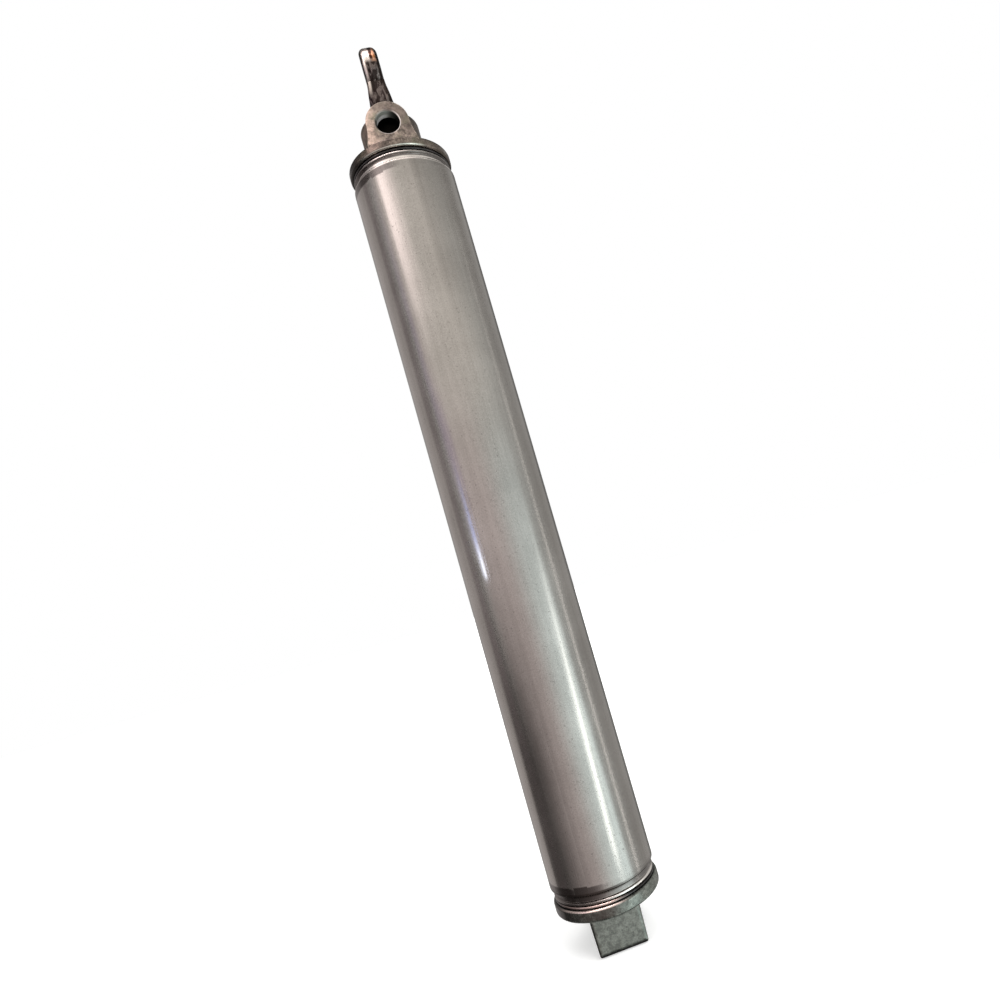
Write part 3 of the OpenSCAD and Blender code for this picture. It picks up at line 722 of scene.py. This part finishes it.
smallLook = {
    "clouds": {"Size": 180.0},
    "corners": {"Reach": 0.0012, "Amount": 0.5},
    "pits": 0.15,
    "toneShares": (0.5, 0.5),
    "toneRange": (0.3, 0.7),
    "turnedScales": (30, 30, 5200),
    "wireHighlight": (0.62, 0.50, 0.46),
    "wireAcross": (-0.019, -0.008, -0.002, 0.007),    # window
    "reliefStrength": 0.4,
}
smallFinishes = {
    # slot: name, light and dark colour, then metallic, roughness, grain, relief depth, and turned on a lathe or not
    "ring_steel": ("ringSteel", (0.60, 0.56, 0.53), (0.38, 0.35, 0.33),
                   1.0, (0.2, 0.34), 1.2, 0.00004, False),
    # the spring wire's near-black colours are painted shade of the gap it lies in
    "spring_wire": ("springWire", (0.08, 0.075, 0.075), (0.025, 0.024, 0.024),
                    1.0, (0.16, 0.3), 1.2, 0.00004, False),
    "bushing_bronze": ("bushingBronze", (0.62, 0.43, 0.20), (0.42, 0.27, 0.11),
                       1.0, (0.3, 0.45), 1.0, 0.00006, True),
    "piston_alloy": ("pistonAlloy", (0.66, 0.66, 0.67), (0.5, 0.5, 0.51),
                     1.0, (0.25, 0.4), 1.0, 0.00005, True),
    "seal_rubber": ("sealRubber", (0.035, 0.034, 0.036), (0.018, 0.018, 0.019),
                    0.0, (0.5, 0.7), 1.4, 0.00005, False),
    "wear_plastic": ("wearNylon", (0.76, 0.71, 0.6), (0.66, 0.6, 0.48),
                     0.0, (0.4, 0.55), 1.0, 0.00005, False),
}


def makeSmallMaterial(name, light, dark, metallic, roughness, grain, depth, turned):
    look = smallLook
    material, tree, shader = newMaterial(name)
    skin = useGroup(tree, castSkin, Grain=grain, Pits=look["pits"])
    clouds = useGroup(tree, cloudyTone, **look["clouds"])
    corners = useGroup(tree, cornerShade, **look["corners"])
    place = objectCoords(tree)
    tone = weighted(tree, (skin["Tone"], clouds["Tone"]), look["toneShares"])
    if turned:  # lathe lines run round the piece
        rings = noise(tree, stretched(tree, place, look["turnedScales"]), 1.0)
        tone = weighted(tree, (tone, rings), look["toneShares"])
    even = smoothStep(tree, tone, *look["toneRange"])
    colour = mixColour(tree, even, dark, light)
    if name == "springWire":  # painted highlight on the left of the ring by the lug
        x, y, z = axisParts(tree, place)
        highlight = times(tree, bothEnds(tree, z)[0], window(tree, x, *look["wireAcross"]))
        colour = mixColour(tree, highlight, colour, look["wireHighlight"])
    # painted shade in the corners
    colour = mixColour(tree, corners["Mask"], colour, capLook["shadeAndGrime"])
    tree.links.new(colour, shader.inputs["Base Color"])
    shader.inputs["Metallic"].default_value = metallic
    tree.links.new(spread(tree, even, *roughness), shader.inputs["Roughness"])
    addRelief(tree, shader, tone, look["reliefStrength"], depth)
    return material


finishes = {"tube_steel": makeBarrelSteel(), "cap_casting": makeCapCasting(), "rod_plating": makeRodSteel()}
for slot, values in smallFinishes.items():
    finishes[slot] = makeSmallMaterial(*values)
for row in frame["record"]["subparts"]:
    mesh = nodes[row["node"]].data
    mesh.materials.clear()
    mesh.materials.append(finishes[row["material_slot"]])
print("materials placed")


# floor, lights and reflection cards

studio = {
    "floorColour": (0.88, 0.88, 0.87),
    "floorShade": 0.98,                    # of its colour, in the paper's darker spots
    "floorSize": 6.0,
    "floorRoughness": 0.9,
    "floorLift": (0.15, 1.6, 0.4, 1.0),    # far from the object the floor turns as white as the world
    "paperScale": 40.0,
    "roomLevel": 0.55,
    "aimHeight": 0.17,
    "cardColumns": 24,
    "leastFade": 0.001,
}
lamps = {
    # name: place, size, power
    "keyLamp": ((0.7, -0.9, 1.1), 0.8, 12.0),
    "fillLamp": ((-0.9, -0.7, 0.5), 0.9, 3.6),
    "backLamp": ((0.2, 1.1, 0.9), 0.9, 7.5),
}
plain, warm, pink, rosy = (1.0, 0.97, 0.94), (1.0, 0.94, 0.88), (1.0, 0.875, 0.86), (1.0, 0.81, 0.85)
green, icy = (0.95, 1.0, 0.985), (0.88, 1.0, 1.0)
haze, violet, blue, paleBlue = (0.84, 0.70, 0.98), (0.90, 0.75, 1.0), (0.50, 0.58, 1.0), (0.80, 0.85, 1.0)
cards = {
    # curved round the axis; name: angles from the front, heights, distance, level, tint,
    # soft share at the left, right, bottom and top, cover, degrees that the upper edge is turned on
    "greyWall": ((-180, 180), (-0.45, 0.95), 0.52, 0.55, plain, (0, 0, 0.1, 0.1), 1.0, 0),
    "leftWall": ((-160, -100), (-0.45, 0.95), 0.51, 0.63, (1.0, 0.92, 0.9), (0.1, 0.1, 0.02, 0.1), 1.0, 0),
    "leftBack": ((-180, -146), (-0.45, 0.95), 0.505, 0.42, plain, (0.01, 0.3, 0.02, 0.1), 1.0, 0),
    "rightBack": ((138, 180), (-0.45, 0.95), 0.505, 0.19, plain, (0.25, 0.01, 0.02, 0.1), 1.0, 0),
    "frontPanel": ((-84, 112), (-0.45, 0.95), 0.50, 0.98, green, (0.17, 0.38, 0.05, 0.1), 1.0, 0),
    "frontLeft": ((-84, 34), (-0.45, 0.95), 0.497, 0.98, pink, (0.2, 0.5, 0.05, 0.1), 1.0, 0),
    "frontTop": ((-80, 112), (0.2, 0.95), 0.495, 1.11, warm, (0.2, 0.5, 0.25, 0.1), 1.0, 0),
    "topRightShade": ((12, 128), (0.34, 0.95), 0.485, 0.4, warm, (0.2, 0.2, 0.35, 0.1), 0.5, 0),
    "topLeftStrip": ((-58, -10), (0.37, 0.62), 0.48, 3.2, pink, (0.02, 0.95, 0.76, 0.01), 1.0, 0),
    "lowRightGlow": ((-10, 66), (-0.45, 0.34), 0.475, 1.98, icy, (0.9, 0.12, 0.05, 0.6), 1.0, 0),
    "lowRightStrip": ((29, 40), (-0.16, 0.20), 0.47, 4.8, green, (0.5, 0.2, 0.02, 0.7), 1.0, 24),
    "lowLeftCard": ((-128, -2), (-0.45, 0.22), 0.46, 0.105, pink, (0.03, 0.75, 0.02, 0.40), 0.95, 23),
    "leftGapCard": ((-108, -80), (-0.45, 0.95), 0.45, 0.3, rosy, (0.25, 0.5, 0.02, 0.02), 0.7, 0),
    "violetHaze": ((-84, -62), (0.17, 0.60), 0.447, 0.66, haze, (0.5, 0.6, 0.3, 0.5), 0.55, 0),
    "violetPatch": ((-75, -50), (0.19, 0.35), 0.446, 0.86, violet, (0.35, 0.5, 0.3, 0.45), 0.55, 0),
    # two narrow cards close to the barrel give the short blue streak in its middle
    "blueLamp": ((-59.8, -54.2), (0.1273, 0.180), 0.051, 3.1, blue, (0.2, 0.2, 0.02, 0.92), 1.0, 0),
    "blueLampEnd": ((-59.1, -53.0), (0.1273, 0.146), 0.05, 5.2, paleBlue, (0.15, 0.15, 0.02, 0.75), 1.0, 0),
    "thinLine": ((71.5, 75), (-0.45, 0.60), 0.44, 2.7, plain, (0.3, 0.3, 0.02, 0.55), 1.0, 21),
    # the dark zone round the eye, with two lights in it
    "eyeShadeRight": ((36, 150), (0.625, 0.95), 0.455, 0.05, warm, (0.1, 0.05, 0.02, 0.02), 0.95, 0),
    "eyeShadeLeft": ((-180, -62), (0.57, 0.95), 0.455, 0.06, warm, (0.02, 0.02, 0.03, 0.02), 0.95, 0),
    "eyeStrip": ((-62, -30), (0.64, 0.95), 0.454, 3.0, pink, (0.1, 0.3, 0.02, 0.02), 1.0, 0),
    "eyeLine": ((58, 72), (0.625, 0.95), 0.45, 1.2, plain, (0.3, 0.3, 0.02, 0.02), 1.0, 0),
}
sheets = {
    # level; name: left and right, front and back, height, level of light, tint, soft shares
    "roofFront": ((-0.52, 0.52), (-0.52, 0.0), 0.96, 2.0, pink, (0.05, 0.35, 0.02, 0.1)),
    "roofStrip": ((-0.5, 0.16), (-0.5, -0.28), 0.955, 16.0, pink, (0.1, 0.4, 0.2, 0.2)),
    "roofBack": ((-0.52, 0.52), (-0.06, 0.52), 0.958, 0.12, plain, (0, 0, 0.1, 0)),
    "darkGround": ((-0.6, 0.6), (-0.6, 0.6), -0.455, 0.04, plain, (0, 0, 0, 0)),
}


def softMask(tree, feather):
    # 1 inside a card, fading to 0 at its left, right, bottom and top
    left, right, bottom, top = (max(part, studio["leastFade"]) for part in feather)
    x, y = axisParts(tree, tree.nodes.new("ShaderNodeUVMap").outputs["UV"])[:2]
    return times(tree, smoothStep(tree, x, 0.0, left), smoothStep(tree, x, 1.0 - right, 1.0, 1.0, 0.0),
                 smoothStep(tree, y, 0.0, bottom), smoothStep(tree, y, 1.0 - top, 1.0, 1.0, 0.0))


def addObject(name, data):
    holder = bpy.data.objects.new(name, data)
    bpy.context.scene.collection.objects.link(holder)
    return holder


def lightCard(name, points, faces, corners, level, tint, feather, cover):
    # a glowing piece that shows in reflections alone
    mesh = bpy.data.meshes.new(name)
    mesh.from_pydata(points, [], faces)
    layer = mesh.uv_layers.new(name="UVMap")
    for loop, uv in zip(layer.data, corners):
        loop.uv = uv
    card = addObject(name, mesh)
    material, tree, output = emptyMaterial(name)
    glow = tree.nodes.new("ShaderNodeEmission")
    glow.inputs["Color"].default_value = (*tint, 1)
    glow.inputs["Strength"].default_value = level
    clear = tree.nodes.new("ShaderNodeBsdfTransparent")
    blend = tree.nodes.new("ShaderNodeMixShader")
    tree.links.new(times(tree, softMask(tree, feather), cover), blend.inputs[0])
    tree.links.new(clear.outputs[0], blend.inputs[1])
    tree.links.new(glow.outputs[0], blend.inputs[2])
    tree.links.new(blend.outputs[0], output.inputs["Surface"])
    mesh.materials.append(material)
    card.visible_camera = False
    card.visible_diffuse = False
    card.visible_shadow = False
    card.visible_transmission = False


def addSheet(name, across, deep, height, level, tint, feather):
    points = [(across[0], deep[0], height), (across[1], deep[0], height),
              (across[1], deep[1], height), (across[0], deep[1], height)]
    corners = (0, 0), (1, 0), (1, 1), (0, 1)
    lightCard(name, points, [(0, 1, 2, 3)], corners, level, tint, feather, cover=1.0)


def addCard(name, angles, heights, distance, level, tint, feather, cover, lean):
    columns = studio["cardColumns"]
    points, corners, faces = [], [], []
    for i in range(columns + 1):
        turn = math.radians(angles[0] + (angles[1] - angles[0]) * i / columns)
        for height, on in zip(heights, (0.0, math.radians(lean))):
            points.append((distance * math.sin(turn + on), -distance * math.cos(turn + on), height))
    for i in range(columns):
        faces.append((2 * i, 2 * i + 2, 2 * i + 3, 2 * i + 1))
        corners += [(i / columns, 0), ((i + 1) / columns, 0), ((i + 1) / columns, 1), (i / columns, 1)]
    lightCard(name, points, faces, corners, level, tint, feather, cover)


def addLamp(name, position, size, power):
    lamp = bpy.data.lights.new(name, "AREA")
    lamp.shape = "SQUARE"
    lamp.size = size
    lamp.energy = power
    holder = addObject(name, lamp)
    holder.location = position
    aim = Vector((0, 0, studio["aimHeight"])) - Vector(position)
    holder.rotation_euler = aim.to_track_quat("-Z", "Y").to_euler()
    holder.visible_camera = False
    holder.visible_glossy = False


def seenWhite(tree):
    # 1 for the camera and in reflections and refractions, 0 where the surface only sends light
    path = tree.nodes.new("ShaderNodeLightPath")
    return largest(tree, *(path.outputs[ray] for ray in ("Is Camera Ray", "Is Glossy Ray", "Is Transmission Ray")))


def addFloor():
    size = studio["floorSize"]
    mesh = bpy.data.meshes.new("floor")
    mesh.from_pydata([(-size, -size, 0), (size, -size, 0), (size, size, 0), (-size, size, 0)], [], [(0, 1, 2, 3)])
    floor = addObject("floor", mesh)
    floor.location.z = cadBox[0].z
    floor.visible_glossy = False
    material, tree, shader = newMaterial("paleFloor")
    place = objectCoords(tree)
    pale = studio["floorColour"]
    shaded = tuple(studio["floorShade"] * part for part in pale)
    paper = noise(tree, place, studio["paperScale"], detail=3.0)
    tree.links.new(mixColour(tree, paper, shaded, pale), shader.inputs["Base Color"])
    shader.inputs["Roughness"].default_value = studio["floorRoughness"]
    reach = tree.nodes.new("ShaderNodeVectorMath")
    reach.operation = "LENGTH"
    tree.links.new(place, reach.inputs[0])
    far = smoothStep(tree, reach.outputs["Value"], *studio["floorLift"])
    shader.inputs["Emission Color"].default_value = (1, 1, 1, 1)
    tree.links.new(times(tree, seenWhite(tree), far), shader.inputs["Emission Strength"])
    mesh.materials.append(material)


def addWorld():
    # white to the camera and in reflections, and plainer as light
    world = bpy.data.worlds.new("studioWorld")
    bpy.context.scene.world = world
    world.use_nodes = True
    tree = world.node_tree
    tree.nodes.clear()
    sky = tree.nodes.new("ShaderNodeBackground")
    output = tree.nodes.new("ShaderNodeOutputWorld")
    sky.inputs["Color"].default_value = (1, 1, 1, 1)
    tree.links.new(spread(tree, seenWhite(tree), studio["roomLevel"], 1.0), sky.inputs["Strength"])
    tree.links.new(sky.outputs[0], output.inputs["Surface"])


addFloor()
addWorld()
for add, rows in ((addLamp, lamps), (addCard, cards), (addSheet, sheets)):
    for name, values in rows.items():
        add(name, *values)
print("studio built:", len(lamps), "lamps,", len(cards) + len(sheets), "cards")


# camera, fitted to the photograph's framing

cameraSetup = {
    "lens": 25.2,
    "sensor": 36,
    "distance": 0.2606,
    "height": 0.1198,
    "roundObject": -1.0,    # degrees, turns the whole camera round the cylinder's axis
    "yaw": 7.598,
    "pitch": 3.537,
    "roll": -16.482,
    "shift": (-0.0981, 0.0206),
    "clip": (0.01, 50),
}


def addCamera():
    yaw, pitch, roll = (math.radians(cameraSetup[part]) for part in ("yaw", "pitch", "roll"))
    forward = Vector((math.sin(yaw) * math.cos(pitch), math.cos(yaw) * math.cos(pitch), math.sin(pitch)))
    level = Vector((math.cos(yaw), -math.sin(yaw), 0))
    upright = level.cross(forward)
    right = level * math.cos(roll) + upright * math.sin(roll)
    up = upright * math.cos(roll) - level * math.sin(roll)
    matrix = Matrix((right, up, -forward)).transposed().to_4x4()
    matrix.translation = (0, -cameraSetup["distance"], cameraSetup["height"])
    data = bpy.data.cameras.new("photoCamera")
    data.sensor_width = cameraSetup["sensor"]
    data.lens = cameraSetup["lens"]
    data.shift_x, data.shift_y = cameraSetup["shift"]
    data.clip_start, data.clip_end = cameraSetup["clip"]
    holder = addObject("photoCamera", data)
    holder.matrix_world = Matrix.Rotation(math.radians(cameraSetup["roundObject"]), 4, "Z") @ matrix
    bpy.context.scene.camera = holder


addCamera()
bpy.context.scene.view_settings.view_transform = "Standard"
print("camera placed")
